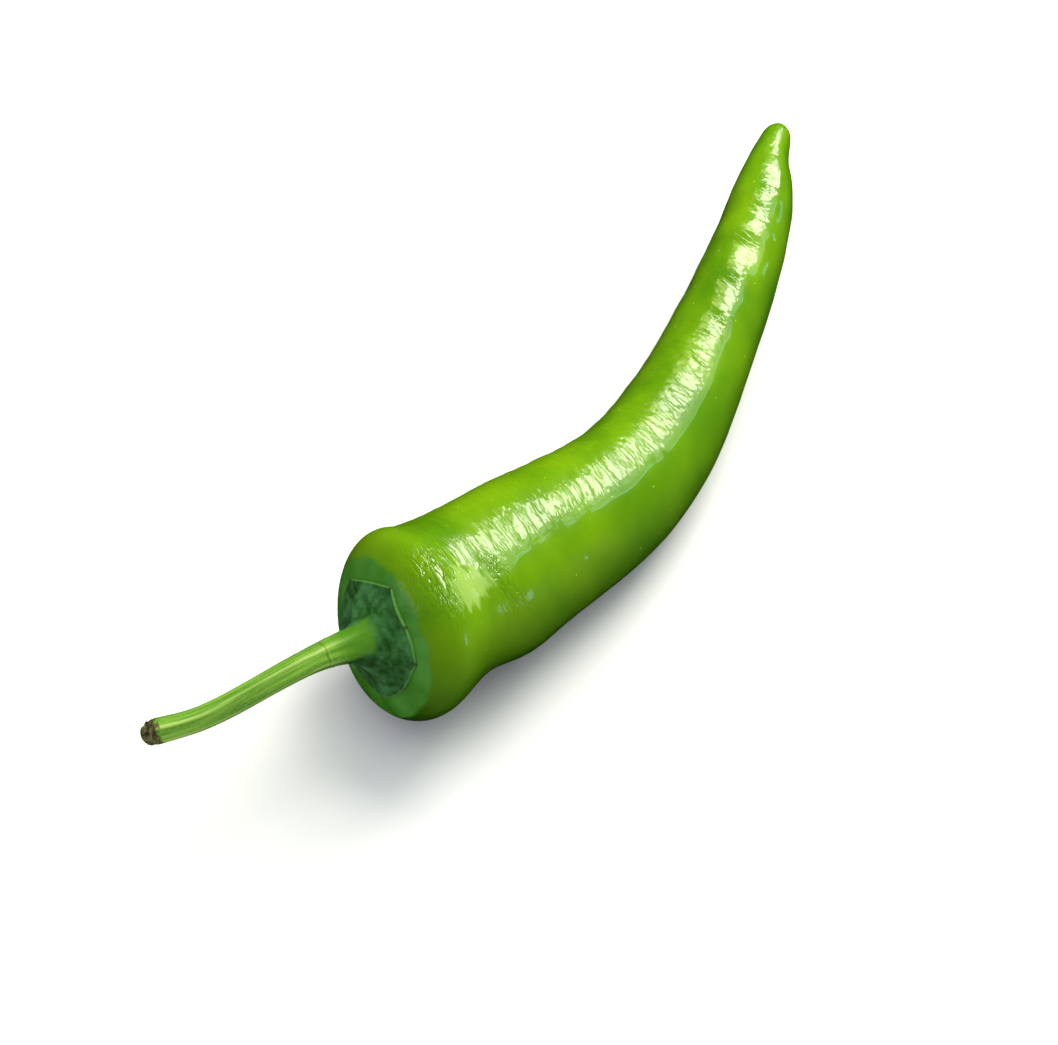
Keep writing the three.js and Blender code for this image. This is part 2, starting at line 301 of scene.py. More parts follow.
def make_pod_skin():
    bend = np.linspace(0, math.pi / 2, POD_SHOULDER_RINGS + 1)[1:-1]
    shoulder = SHOULDER_LENGTH * (1 - np.cos(bend) ** (2 / SHOULDER_SQUARENESS))
    body = np.linspace(SHOULDER_LENGTH, pod_length - TIP_LENGTH, POD_BODY_RINGS)
    tip = pod_length - TIP_LENGTH * (1 - np.sin(np.linspace(0, math.pi / 2, POD_TIP_RINGS + 1)[1:-1]))
    lengths = np.concatenate([shoulder, body, tip])
    angles = np.linspace(0, 2 * math.pi, POD_SIDES, endpoint=False)
    centre, girth, _, side, up = pod_at(lengths)
    radius = (girth * pod_ends(lengths))[:, None] * pod_relief(lengths[:, None], angles[None])
    ripples = np.sin(2 * math.pi * (lengths - RIPPLE_PHASE) / RIPPLE_LENGTH)
    ripples = RIPPLE_HEIGHT * ripples * hump(lengths, RIPPLE_MIDDLE, RIPPLE_SPREAD)
    ripples = ripples[:, None] * facing(angles, math.pi / 2)[None] ** 3
    off_belly = rise(np.sin(angles), BELLY_SINE, BELLY_FADE)
    plump = PLUMPNESS * off_belly[None] * rise(lengths, PLUMP_START, PLUMP_FADE)[:, None]
    radius = radius + ripples + plump * rise(radius, 0, SLENDER_RADIUS)
    rings = rings_round(centre, side, up, angles, np.maximum(radius - SKIN_INSET, radius * 0.5))
    rings[..., 2] = np.maximum(rings[..., 2], 0)

    around = np.broadcast_to(angles, (len(lengths), POD_SIDES))
    along = np.broadcast_to(lengths[:, None], around.shape)
    stout = np.maximum(rise(radius, 0, SLENDER_RADIUS), SLENDER_SHARE)
    slack = 1 - STRETCH_SHARE * rise(around, STRETCH_TURN, STRETCH_FADE)
    on_top = rise(CREASE_FRONT - around, 0, CREASE_FRONT_FADE) * rise(around, CREASE_BACK, CREASE_BACK_FADE)
    toward_tip = np.minimum(rise(along, CREASE_END, CREASE_END_FADE), CREASE_END_LOSS)
    face_edge = FACE_ZONE + FACE_ZONE_SPREAD * (1 - facing(around, FACE_ZONE_TURN))
    places = {
        "unrolled": np.stack([along, MEAN_GIRTH * np.cos(around), MEAN_GIRTH * np.sin(around)], -1),
        "wrinkled": off_belly * rise(along, FOLDS_START, FOLDS_FADE) * stout * slack,
        "creased": on_top * rise(along, CREASE_START, CREASE_START_FADE) * (1 - toward_tip),
        "crumpled": sum(strength * patch(along, around, *spot) for *spot, strength in CRUMPLED_PATCHES),
        "painted_reflection": patch(along, around, *PAINTED_REFLECTION_PATCH),
        "under_calyx": np.clip((face_edge - along) / FACE_ZONE_FADE + 0.5, 0, 1),
    }
    start, end = pod_at(np.array([0.0, pod_length]))[0]
    end = end - (end - centre[-1]) * TIP_BLUNTNESS
    return closed_mesh("pod_skin", start, rings, end, places)


# The wrinkles and the small pale pores of the skin, which follow its surface: slow swells along the pod,
# plump folds, thin slanting creases that run across its top, and a pore here and there.
NOISE_LOW, NOISE_HIGH = 0.3, 0.7  # nearly all of a noise's values lie between these
WRINKLE_SLANT = -0.15
PORE_FLATNESS = 0.4


def make_skin_tree(skin_material, pore_material):
    tree = bpy.data.node_groups.new("skin_wrinkles_and_pores", "GeometryNodeTree")
    tree.interface.new_socket("Skin", in_out="INPUT", socket_type="NodeSocketGeometry")
    sizes = {
        "Swell height": 0.5 * MM,
        "Swell length": 17 * MM,
        "Fold height": 0.18 * MM,
        "Fold length": 5 * MM,
        "Fold reach": 2.4,
        "Crease depth": 0.13 * MM,
        "Crease spacing": 3.0 * MM,
        "Crease width": 0.06,
        "Crease reach": 3.2,
        "Slant": WRINKLE_SLANT,
        "Pore spacing": 7 * MM,
        "Pore size": 0.2 * MM,
        "Smallest pore": 0.4,
    }
    add_inputs(tree, "NodeSocketFloat", sizes)
    add_inputs(tree, "NodeSocketInt", {"Seed": 7})
    tree.interface.new_socket("Skin", in_out="OUTPUT", socket_type="NodeSocketGeometry")
    given = put(tree, "NodeGroupInput").outputs

    parts = split(tree, stored(tree, "unrolled", "FLOAT_VECTOR"))
    slanted = calculate(tree, "MULTIPLY_ADD", parts[1], given["Slant"])
    tree.links.new(parts[0], slanted.node.inputs[2])

    def pattern(length, reach, detail):
        """Noise drawn out round the pod: reach is its size round it, in its lengths along it."""
        across = calculate(tree, "MULTIPLY", length, reach)
        spot = {
            0: calculate(tree, "DIVIDE", slanted, length),
            1: calculate(tree, "DIVIDE", parts[1], across),
            2: calculate(tree, "DIVIDE", parts[2], across),
        }
        spot = put(tree, "ShaderNodeCombineXYZ", spot).outputs[0]
        return seeded_noise(tree, spot, detail, given["Seed"])

    def lowered(value, low, high):
        """Minus 1 where the value is low, and eased up to 0 where it is high."""
        return ranged(tree, value, low, high, -1.0, 0.0, interpolation_type="SMOOTHSTEP")

    swell = lowered(pattern(given["Swell length"], 1.0, 0.0), NOISE_LOW, NOISE_HIGH)
    swell = calculate(tree, "MULTIPLY", swell, given["Swell height"])
    fold = lowered(pattern(given["Fold length"], given["Fold reach"], 1.0), NOISE_LOW, NOISE_HIGH)
    fold = calculate(tree, "MULTIPLY", fold, given["Fold height"])
    # The creases are thin lines where the noise passes its middle value.
    crease = calculate(tree, "SUBTRACT", pattern(given["Crease spacing"], given["Crease reach"], 1.5), 0.5)
    crease = lowered(calculate(tree, "ABSOLUTE", crease), 0.0, given["Crease width"])
    crease = calculate(tree, "MULTIPLY", crease, given["Crease depth"])
    crease = calculate(tree, "MULTIPLY", crease, stored(tree, "creased"))
    wrinkled = stored(tree, "wrinkled")
    height = calculate(tree, "MULTIPLY", calculate(tree, "ADD", swell, fold), wrinkled)
    height = calculate(tree, "ADD", height, crease)
    offset = scaled(tree, put(tree, "GeometryNodeInputNormal").outputs[0], height)
    moved = put(tree, "GeometryNodeSetPosition", {"Geometry": given["Skin"], "Offset": offset}).outputs[0]
    skin = put(tree, "GeometryNodeSetMaterial", {"Geometry": moved, "Material": skin_material})

    area = calculate(tree, "MULTIPLY", given["Pore spacing"], given["Pore spacing"])
    inputs = {"Mesh": moved, "Density": calculate(tree, "DIVIDE", wrinkled, area), "Seed": given["Seed"]}
    spread = put(tree, "GeometryNodeDistributePointsOnFaces", inputs, distribute_method="RANDOM").outputs
    dome = put(tree, "GeometryNodeMeshIcoSphere", {"Radius": given["Pore size"], "Subdivisions": 1})
    inputs = {"Geometry": dome.outputs[0], "Scale": (1.0, 1.0, PORE_FLATNESS)}
    flat = put(tree, "GeometryNodeTransform", inputs)
    inputs = {2: given["Smallest pore"], 3: 1.0, "Seed": given["Seed"]}
    size = put(tree, "FunctionNodeRandomValue", inputs, data_type="FLOAT")
    inputs = {
        "Points": spread["Points"],
        "Instance": flat.outputs[0],
        "Rotation": spread["Rotation"],
        "Scale": size.outputs[1],
    }
    placed = put(tree, "GeometryNodeInstanceOnPoints", inputs)
    real = put(tree, "GeometryNodeRealizeInstances", {"Geometry": placed.outputs[0]})
    pores = put(tree, "GeometryNodeSetMaterial", {"Geometry": real.outputs[0], "Material": pore_material})
    joined = put(tree, "GeometryNodeJoinGeometry")
    tree.links.new(pores.outputs[0], joined.inputs[0])
    tree.links.new(skin.outputs[0], joined.inputs[0])
    put(tree, "NodeGroupOutput", {0: joined.outputs[0]})
    return tree


def apply_tree(piece, tree):
    """Runs the tree on the piece and leaves a plain mesh."""
    piece.modifiers.new(tree.name, "NODES").node_group = tree
    result = bpy.data.meshes.new_from_object(piece.evaluated_get(bpy.context.evaluated_depsgraph_get()))
    piece.modifiers.clear()
    plain = piece.data
    piece.data = result
    result.name = piece.name
    bpy.data.meshes.remove(plain)
    return piece


# Waxy pepper skin: a smooth cuticle over green flesh, so the colour comes from a little below a clear
# glossy coat. It is clouded in yellower and greener patches and painted darker toward the underside as
# painted shade. The face under the calyx is duller and bluer, partly from its own darker green and partly
# from painted shade and a painted bluish reflection, and the shoulder has one pale painted reflection patch.
# Painted shade: between these heights the skin is painted a deeper green toward the underside.
UNDERSIDE_SHADE_LOW, UNDERSIDE_SHADE_HIGH = -8 * MM, 12.5 * MM
# The fine relief of the skin: its size along the pod and round it, its detail, the width of its lines (0
# where it isn't drawn as lines), which part of the pod has it, its depth, and the sockets that it reaches.
SKIN_BUMPS = [
    (1.1 * MM, 2.6 * MM, 2.0, 0.09, "crumpled", 0.2 * MM, ("Normal", "Coat Normal")),
    (2.2 * MM, 12 * MM, 2.5, 0.06, "creased", 0.14 * MM, ("Coat Normal",)),
    (0.45 * MM, 1.3 * MM, 1.0, 0, "creased", 0.09 * MM, ("Coat Normal",)),
]


def make_skin_material():
    material, tree, shader = new_material("waxy_pepper_skin")
    place = attribute(tree, "unrolled", "Vector")
    green = two_tones(tree, noise(tree, place, 60.0, 4.0), 0.34, 0.68, "#4c7d00", "#6a9600")
    # Painted shade: a deeper green is mixed in toward the underside.
    low = ranged(tree, split(tree, place)[2], UNDERSIDE_SHADE_LOW, UNDERSIDE_SHADE_HIGH, 0.9, 0.0)
    green = mixed_colour(tree, low, green, colour("#0f3d00"))
    ragged = noise(tree, place, (420.0, 200.0, 200.0), 5.0)
    # Round the calyx: partly the skin's own darker green, partly painted shade and a painted bluish
    # reflection.
    zone = ranged(tree, calculate(tree, "ADD", attribute(tree, "under_calyx"), ragged), 0.8, 1.2)
    face = two_tones(tree, noise(tree, place, 170.0, 3.0), 0.36, 0.66, "#36780c", "#4b8d30")
    green = mixed_colour(tree, zone, green, face)
    # Painted reflection: a pale, ragged patch laid over the skin on the shoulder.
    painted_reflection = ranged(tree, calculate(tree, "ADD", attribute(tree, "painted_reflection"), ragged), 1.06, 1.2, 0.0, 0.4)
    green = mixed_colour(tree, painted_reflection, green, colour("#b0cc74"))
    tree.links.new(green, shader.inputs["Base Color"])

    normal = None
    for size, reach, detail, width, part, depth, reached in SKIN_BUMPS:
        inputs = {"Vector": place, "Rotation": (0.0, 0.0, WRINKLE_SLANT), "Scale": (size, reach, reach)}
        spot = put(tree, "ShaderNodeMapping", inputs, vector_type="TEXTURE").outputs[0]
        height = noise(tree, spot, 1.0, detail)
        if width:
            off_middle = calculate(tree, "ABSOLUTE", calculate(tree, "SUBTRACT", height, 0.5))
            height = ranged(tree, off_middle, 0.0, width)
        height = calculate(tree, "MULTIPLY", height, attribute(tree, part))
        bump = put(tree, "ShaderNodeBump", {"Height": height, "Strength": 1.0, "Distance": depth})
        if normal:
            tree.links.new(normal, bump.inputs["Normal"])
        normal = bump.outputs[0]
        for socket in reached:
            tree.links.new(normal, shader.inputs[socket])

    # Seen along the surface the wax mirrors only what is dark round the pepper, so it fades out there.
    glancing = put(tree, "ShaderNodeLayerWeight", {"Blend": 0.5}).outputs["Facing"]
    tree.links.new(ranged(tree, glancing, 0.6, 0.95, 1.0, 0.1), shader.inputs["Coat Weight"])
    tree.links.new(ranged(tree, zone, 0.0, 1.0, 0.045, 0.3), shader.inputs["Coat Roughness"])
    shader.inputs["Roughness"].default_value = 0.3
    shader.inputs["IOR"].default_value = 1.4
    shader.inputs["Specular IOR Level"].default_value = 0.25
    shader.inputs["Coat IOR"].default_value = 1.5
    shader.inputs["Subsurface Weight"].default_value = 0.1
    shader.inputs["Subsurface Radius"].default_value = (0.6, 1.0, 0.15)
    shader.inputs["Subsurface Scale"].default_value = 1.2 * MM
    return material


# Pore cork: the tiny raised spots where the skin breathes, paler and drier than the wax round them.
def make_pore_material():
    material, _, shader = new_material("pale_pore_cork")
    shader.inputs["Base Color"].default_value = colour("#a6c93c")
    shader.inputs["Roughness"].default_value = 0.5
    return material


skin_material = make_skin_material()
pod_skin = make_pod_skin()
apply_tree(pod_skin, make_skin_tree(skin_material, make_pore_material()))
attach(pod_skin, "root")
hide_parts("pod")

# The stalk: the stem's own line, which goes on through the calyx's neck to the middle of the pod's face.
# x, y, z and radius in millimetres, from the cut end.
STALK_STATIONS = [
    (-109.9, 21.4, 30.3, 2.8),
    (-104.4, 17.9, 29.7, 2.5),
    (-100.2, 15.4, 29.4, 2.45),
    (-94.1, 12.9, 29.5, 2.5),
    (-87.6, 10.9, 29.7, 2.55),
    (-81.1, 9.0, 29.5, 2.6),
    (-74.5, 7.1, 28.8, 2.7),
    (-68.9, 5.0, 27.4, 3.3),
    (-63.2, 3.0, 25.1, 4.6),
]
RIB_COUNT, RIB_HEIGHT, RIB_TWIST, RIB_TURN = 5, 0.06, 0.02 / MM, 2.8
NECK_LENGTH = 11.8 * MM
NECK_FOOT = 6.2 * MM
stalk_length, stalk_at = run_through(STALK_STATIONS)

# The calyx: what is left of the flower, a thin leathery cap that grew fast to the pod's broad face,
# with pointed teeth on its edge. It rises as a trumpet into the neck, which is one with the stem.
# Degrees round the face and radius in millimetres of each tooth, and how far the edge from it to the
# next tooth stands out from a straight line.
CALYX_TEETH = [
    (17, 14.0, 0.4),
    (81, 13.3, -0.2),
    (122, 11.6, 0.5),
    (158, 13.1, 1.8),
    (232, 13.1, -0.5),
    (290, 11.8, 0),
    (325, 13.6, 0.2),
]
CALYX_LIFT = 0.3 * MM  # of the rim over the pod's skin
FLARE_HEIGHT, FLARE_WIDTH = 15.5 * MM, 3.2 * MM
ROOT_RIDGE_HEIGHT, ROOT_RIDGE_LENGTH = 0.45 * MM, 2.6 * MM
SCAR_HEIGHT, SCAR_PLACE, SCAR_WIDTH = 0.025, 1.5 * MM, 0.25 * MM  # the ring round the neck
# Places on the cap run from 0 at the neck to 1 at the edge. Each tooth has a crease down its middle.
CREASE_DEPTH, CREASE_TURN, CREASE_PLACE, CREASE_SPREAD = 0.16 * MM, 0.07, 0.86, 0.22
LIP_HEIGHT, LIP_PLACE, LIP_WIDTH = 0.1 * MM, 0.965, 0.03
EDGE_DROP, EDGE_PLACE, EDGE_WIDTH = 0.12 * MM, 0.97, 0.03
DIMPLE_HEIGHT = 0.22 * MM
DRY_TIP_TURN, DRY_TIP_SPREAD = 0.035, 0.07
# How many millimetres the stem's green runs out over the cap: at least, more on one side, and in a tongue.
GREEN_LEAST, GREEN_MORE, GREEN_TURN = 0.6, 5, math.radians(105)
TONGUE_LENGTH, TONGUE_TURN, TONGUE_WIDTH = 0.8, math.radians(76), 0.12
EDGE_STEPS = 34  # points along each side of the calyx's outline
NECK_RINGS, CAP_RINGS, UNDERSIDE_RINGS = 16, 44, 8
CAP_CROWDING = 0.9  # draws the cap's rings a little toward its edge


def calyx_outline():
    """Angles round the cap and the radius of its edge at each, with a point on every tooth."""
    angles, radii = [], []
    for (start, radius, bulge), (end, far, _) in zip(CALYX_TEETH, CALYX_TEETH[1:] + CALYX_TEETH[:1]):
        gap = math.radians((end - start) % 360)
        share = np.arange(EDGE_STEPS) / EDGE_STEPS
        ahead = gap * share
        chord = radius * far * math.sin(gap) / (radius * np.sin(ahead) + far * np.sin(gap - ahead))
        angles.append(math.radians(start) + ahead)
        radii.append((chord + bulge * np.sin(math.pi * share)) * MM)
    return np.concatenate(angles), np.concatenate(radii)


def make_calyx():
    angles, edge = calyx_outline()
    face, _, inward, side, up = pod_at(np.zeros(1))
    foot = stalk_at(np.array([stalk_length - NECK_FOOT]))[1][0]

    def over_face(distance, lift):
        depth = face_depth(distance) - lift
        flat = rings_round(np.repeat(face, len(distance), 0), side, up, angles, distance)
        return flat + depth[..., None] * inward[0]

    neck = np.linspace(stalk_length - NECK_LENGTH, stalk_length - NECK_FOOT, NECK_RINGS)
    centre, girth, _, neck_side, neck_up = stalk_at(neck)
    ribs = 1 + RIB_HEIGHT * np.cos(RIB_COUNT * angles[None] + RIB_TWIST * neck[:, None] - RIB_TURN)
    ring_scar = 1 + SCAR_HEIGHT * hump(neck, neck[0] + SCAR_PLACE, SCAR_WIDTH)[:, None]
    neck_rings = rings_round(centre, neck_side, neck_up, angles, girth[:, None] * ribs * ring_scar)

    share = np.linspace(0, 1, CAP_RINGS + 1)[1:, None] ** CAP_CROWDING
    distance = foot + (edge[None] - foot) * share
    trumpet = FLARE_HEIGHT * np.exp(-distance / FLARE_WIDTH)
    ridges = np.maximum(np.cos(RIB_COUNT * angles[None] + RIB_TWIST * neck[-1] - RIB_TURN), 0) ** 2
    ridges = ROOT_RIDGE_HEIGHT * ridges * np.exp(-(distance - foot) / ROOT_RIDGE_LENGTH)
    teeth = np.radians([[at] for at, _, _ in CALYX_TEETH])
    to_tooth = np.abs((angles[None] - teeth + math.pi) % (2 * math.pi) - math.pi).min(0)
    crease = -CREASE_DEPTH * hump(to_tooth, 0, CREASE_TURN)[None] * hump(share, CREASE_PLACE, CREASE_SPREAD)
    dimples = np.sin(9 * angles[None] + 5 * share) * np.sin(11 * share + 3 * angles[None])
    dimples = DIMPLE_HEIGHT * dimples * (1 - share) * share * 3
    lip = LIP_HEIGHT * hump(share, LIP_PLACE, LIP_WIDTH) - EDGE_DROP * rise(share, EDGE_PLACE, EDGE_WIDTH)
    cap_rings = over_face(distance, CALYX_LIFT - SKIN_INSET + trumpet + ridges + crease + dimples + lip)
    under = np.linspace(0.985, 0.05, UNDERSIDE_RINGS)[:, None] * edge[None]
    under_rings = over_face(under, np.full_like(under, -2 * SKIN_INSET))

    rings = np.concatenate([neck_rings, cap_rings, under_rings])
    green_reach = GREEN_LEAST + GREEN_MORE * facing(angles, GREEN_TURN) ** 1.3
    green_reach = MM * (green_reach + TONGUE_LENGTH * hump(angles, TONGUE_TURN, TONGUE_WIDTH))
    whole_ring = np.ones_like(edge)[None]
    on_neck = (neck - neck[-1])[:, None] * whole_ring + foot
    to_edge = np.concatenate([0 * on_neck, share * whole_ring, np.ones_like(under)])
    along = neck[-1] - foot + np.concatenate([on_neck, distance, under])
    turn = np.broadcast_to(angles, along.shape)
    places = {
        "from_stem": np.concatenate([on_neck - green_reach, distance - green_reach, under]),
        "at_tooth": hump(to_tooth, 0, DRY_TIP_TURN)[None] * hump(to_edge, 1, DRY_TIP_SPREAD),
        "to_edge": to_edge,
        "stalk_place": np.stack([along, np.cos(turn), np.sin(turn)], -1),
    }
    start = stalk_at(neck[:1])[0][0]
    end = face[0] + 2 * SKIN_INSET * inward[0]
    return closed_mesh("calyx_cap", start, rings, end, places)


def stem_green(tree):
    """The stem's colour and its streaks, as sockets: pale along the ribs, partly their own paler green and
    partly a painted highlight, deeper green between.
    """
    place = attribute(tree, "stalk_place", "Vector")
    streak = noise(tree, place, (70.0, 3.6, 3.6), 4.0)
    green = two_tones(tree, streak, 0.32, 0.68, "#3c7208", "#74a52c")
    parts = split(tree, place)
    turn = calculate(tree, "MULTIPLY", calculate(tree, "ARCTAN2", parts[2], parts[1]), RIB_COUNT)
    twist = calculate(tree, "MULTIPLY", parts[0], RIB_TWIST)
    phase = calculate(tree, "SUBTRACT", calculate(tree, "ADD", turn, twist), RIB_TURN)
    # The rib crests are paler: partly the ribs' own green, partly a painted highlight.
    rib_crest_highlight = calculate(tree, "ADD", calculate(tree, "COSINE", phase), streak)
    green = mixed_colour(tree, ranged(tree, rib_crest_highlight, 1.3, 1.6, 0.0, 0.7), green, colour("#a9c46a"))
    powder = ranged(tree, noise(tree, place, (1700.0, 6.0, 6.0), 4.0), 0.45, 0.75, 0.0, 0.4)
    return mixed_colour(tree, powder, green, colour("#86a862")), streak


# Calyx leaf: tough matte leaf tissue, dark green with bluish blotches, with a thin pale line along its
# rim, dry brown tips, and the stem's lighter green where the neck runs out over it, darkened toward the
# flare as painted shade.
FRAY_LENGTH = 3 * MM  # how unevenly the stem's green ends, at a noise of 0 to 1
SHADE_START, SHADE_END = stalk_length - NECK_FOOT - 5 * MM, stalk_length - NECK_FOOT - 1 * MM


def make_calyx_material():
    material, tree, shader = new_material("matte_calyx_leaf")
    place = put(tree, "ShaderNodeTexCoord").outputs["Object"]
    blotch = noise(tree, place, 640.0, 6.0)
    patches = calculate(tree, "ADD", blotch, noise(tree, place, 150.0, 1.0))
    leaf = two_tones(tree, calculate(tree, "MULTIPLY", patches, 0.5), 0.4, 0.62, "#17490a", "#3c773c")
    rim = ranged(tree, attribute(tree, "to_edge"), 0.965, 0.98, 0.0, 0.5)
    leaf = mixed_colour(tree, rim, leaf, colour("#5d8f3c"))
    dry = ranged(tree, attribute(tree, "at_tooth"), 0.2, 0.8, 0.0, 0.8)
    leaf = mixed_colour(tree, dry, leaf, colour("#2b3410"))
    along = split(tree, attribute(tree, "stalk_place", "Vector"))[0]
    # Painted shade: the neck's green is darkened toward the flare.
    shaded = ranged(tree, along, SHADE_START, SHADE_END, 0.0, 0.9)
    neck = mixed_colour(tree, shaded, stem_green(tree)[0], colour("#3f7606"))
    frayed = calculate(tree, "MULTIPLY", calculate(tree, "ADD", blotch, -0.5), FRAY_LENGTH)
    reached = calculate(tree, "ADD", attribute(tree, "from_stem"), frayed)
    leaf = mixed_colour(tree, ranged(tree, reached, -0.5 * MM, 0.5 * MM, 1.0, 0.0), leaf, neck)
    tree.links.new(leaf, shader.inputs["Base Color"])
    bump = put(tree, "ShaderNodeBump", {"Height": blotch, "Strength": 0.4, "Distance": 0.25 * MM})
    tree.links.new(bump.outputs[0], shader.inputs["Normal"])
    shader.inputs["Roughness"].default_value = 0.5
    shader.inputs["Specular IOR Level"].default_value = 0.25
    return material


calyx_cap = make_calyx()
calyx_cap.data.materials.append(make_calyx_material())
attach(calyx_cap, "root")
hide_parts("calyx")

# The stem: the stalk that the pepper hung by, a ribbed bundle of tough fibres, snapped off its plant,
# so that its far end is torn, dry and brown.
STEM_RINGS, STEM_SIDES = 260, 80
FIBRE_FADE = 3 * MM  # the fibres are gone where the calyx's smooth neck begins
TORN_LENGTH = 3.4 * MM
END_RINGS, END_FIRST_BEND = 16, 0.05  # the first ring of the end already has some width
END_ROUND, END_BLUNTNESS = 2.3 * MM, 0.8  # over this length the torn end is rounded off
END_INSET = 0.15 * MM


def make_stem_tree(material):
    """A ribbed section swept along the path, with fine lengthwise fibres and a torn end."""
    tree = bpy.data.node_groups.new("ribbed_stem", "GeometryNodeTree")
    tree.interface.new_socket("Path", in_out="INPUT", socket_type="NodeSocketGeometry")
    sizes = {
        "Rib height": RIB_HEIGHT,
        "Twist": RIB_TWIST,
        "Turn of the ribs": RIB_TURN,
        "Fibre depth": 0.14 * MM,
        "Tatter depth": 1.1 * MM,
    }
    add_inputs(tree, "NodeSocketFloat", sizes)
    add_inputs(tree, "NodeSocketInt", {"Sides": STEM_SIDES, "Ribs": RIB_COUNT, "Seed": 3})
    tree.interface.new_socket("Stem", in_out="OUTPUT", socket_type="NodeSocketGeometry")
    given = put(tree, "NodeGroupInput").outputs

    def store(geometry, name, value):
        inputs = {"Geometry": geometry, "Name": name, "Value": value}
        settings = {"data_type": "FLOAT_VECTOR", "domain": "POINT"}
        return put(tree, "GeometryNodeStoreNamedAttribute", inputs, **settings).outputs[0]

    path = put(tree, "GeometryNodeMeshToCurve", {"Mesh": given["Path"]})
    upright = put(tree, "GeometryNodeSetCurveNormal", {"Curve": path.outputs[0]}, mode="Z_UP")
    circle = put(tree, "GeometryNodeCurvePrimitiveCircle", {"Resolution": given["Sides"], "Radius": 1.0})
    section = store(circle.outputs[0], "round", put(tree, "GeometryNodeInputPosition").outputs[0])
    sweep = {"Curve": upright.outputs[0], "Profile Curve": section, "Fill Caps": True}
    swept = put(tree, "GeometryNodeCurveToMesh", sweep)
    tree.links.new(stored(tree, "thickness"), swept.inputs["Scale"])

    across = split(tree, stored(tree, "round", "FLOAT_VECTOR"))
    # The sweep lays the section's own axes against the stalk's side and up, so both change sign.
    side, up = (calculate(tree, "MULTIPLY", axis, -1.0) for axis in (across[0], across[1]))
    along = stored(tree, "along")
    place = put(tree, "ShaderNodeCombineXYZ", {0: along, 1: side, 2: up}).outputs[0]
    placed = store(swept.outputs[0], "stalk_place", place)
    turn = calculate(tree, "MULTIPLY", calculate(tree, "ARCTAN2", up, side), given["Ribs"])
    phase = calculate(tree, "ADD", turn, calculate(tree, "MULTIPLY", along, given["Twist"]))
    phase = calculate(tree, "SUBTRACT", phase, given["Turn of the ribs"])
    ribs = calculate(tree, "MULTIPLY", calculate(tree, "COSINE", phase), given["Rib height"])
    ribs = calculate(tree, "MULTIPLY", ribs, stored(tree, "thickness"))

    def unevenness(scale, start, end):
        """Noise over the stem, as a value from start to end."""
        drawn_out = put(tree, "ShaderNodeVectorMath", {0: place, 1: scale}, operation="MULTIPLY").outputs[0]
        value = seeded_noise(tree, drawn_out, 3.0, given["Seed"])
        return ranged(tree, value, NOISE_LOW, NOISE_HIGH, start, end)

    fibre = calculate(tree, "MULTIPLY", unevenness((60.0, 4.5, 4.5), -1.0, 0.0), given["Fibre depth"])
    fibre = calculate(tree, "MULTIPLY", fibre, stored(tree, "fibrous"))
    torn = ranged(tree, along, 0.5 * END_ROUND, TORN_LENGTH, 1.0, 0.0)
    tatters = calculate(tree, "MULTIPLY", unevenness((700.0, 1.6, 1.6), 0.0, -1.0), torn)
    tatters = calculate(tree, "MULTIPLY", tatters, given["Tatter depth"])
    tatters = calculate(tree, "MULTIPLY", tatters, stored(tree, "end_share"))
    normal = put(tree, "GeometryNodeInputNormal").outputs[0]
    offset = {0: scaled(tree, normal, calculate(tree, "ADD", ribs, fibre)), 1: scaled(tree, normal, tatters)}
    offset = put(tree, "ShaderNodeVectorMath", offset, operation="ADD").outputs[0]
    moved = put(tree, "GeometryNodeSetPosition", {"Geometry": placed, "Offset": offset})
    smooth = put(tree, "GeometryNodeSetShadeSmooth", {"Geometry": moved.outputs[0]})
    real = put(tree, "GeometryNodeRealizeInstances", {"Geometry": smooth.outputs[0]})
    painted = put(tree, "GeometryNodeSetMaterial", {"Geometry": real.outputs[0], "Material": material})
    put(tree, "NodeGroupOutput", {0: painted.outputs[0]})
    return tree


# Stem bark: living green skin over tough strands, satin, lighter along its ribs, partly as a painted
# highlight, and dried to a greyish brown where it tore.
UNEVEN_DRYING = -4.5 * MM  # how far the noise moves the brown's limit along the stem
BROWN_END, GREEN_START = 0.9 * MM, 1.7 * MM
END_FACE_LENGTH = 0.8 * MM


def make_stem_material():
    material, tree, shader = new_material("ribbed_stem_bark")
    green, streak = stem_green(tree)
    place = attribute(tree, "stalk_place", "Vector")
    spots = noise(tree, place, (900.0, 1.8, 1.8), 3.0)
    along = calculate(tree, "ADD", split(tree, place)[0], calculate(tree, "MULTIPLY", spots, UNEVEN_DRYING))
    brown = two_tones(tree, spots, 0.4, 0.66, "#29280f", "#757446")
    ring = ranged(tree, along, 0.0, END_FACE_LENGTH, 0.0, 0.8)
    brown = mixed_colour(tree, ring, brown, colour("#3a2f18"))
    dry = ranged(tree, along, BROWN_END, GREEN_START, 1.0, 0.0)
    tree.links.new(mixed_colour(tree, dry, green, brown), shader.inputs["Base Color"])
    bump = put(tree, "ShaderNodeBump", {"Height": streak, "Strength": 0.35, "Distance": 0.2 * MM})
    tree.links.new(bump.outputs[0], shader.inputs["Normal"])
    shader.inputs["Roughness"].default_value = 0.42
    shader.inputs["IOR"].default_value = 1.45
    return material


